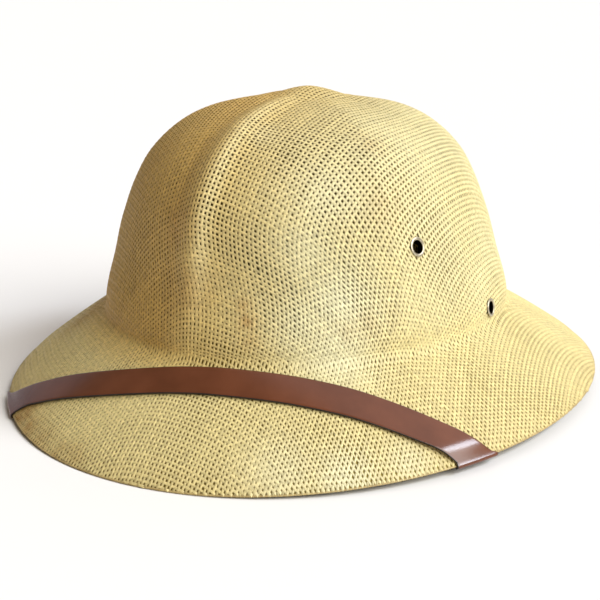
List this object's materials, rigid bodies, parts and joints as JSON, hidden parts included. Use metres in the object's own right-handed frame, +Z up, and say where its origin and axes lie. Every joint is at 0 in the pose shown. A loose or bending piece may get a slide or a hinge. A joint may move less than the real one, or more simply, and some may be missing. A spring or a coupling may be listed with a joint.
{
  "type": "straw sun helmet",
  "caption": "Woven paper straw sun hat with a tall ridged crown, a long sloping brim, a leather chin strap over the front brim and brass eyelets.",
  "frame": {"origin": "the middle of the brim's outline, at the height of the surface that the hat rests on", "axes": "-Y to the front of the hat, +X to the wearer's left, +Z up"},
  "size_m": [0.304, 0.364, 0.1554],
  "materials": {
    "straw": "plain-woven paper straw, matt with a slight sheen",
    "strap_leather": "smooth, glossy, with dark painted edges",
    "eyelet_brass": "aged"
  },
  "bodies": {
    "root": {"straw_body": "straw", "chin_strap": "strap_leather", "eyelet_left_front": "eyelet_brass", "eyelet_left_rear": "eyelet_brass", "eyelet_right_front": "eyelet_brass", "eyelet_right_rear": "eyelet_brass"}
  },
  "joints": []
}
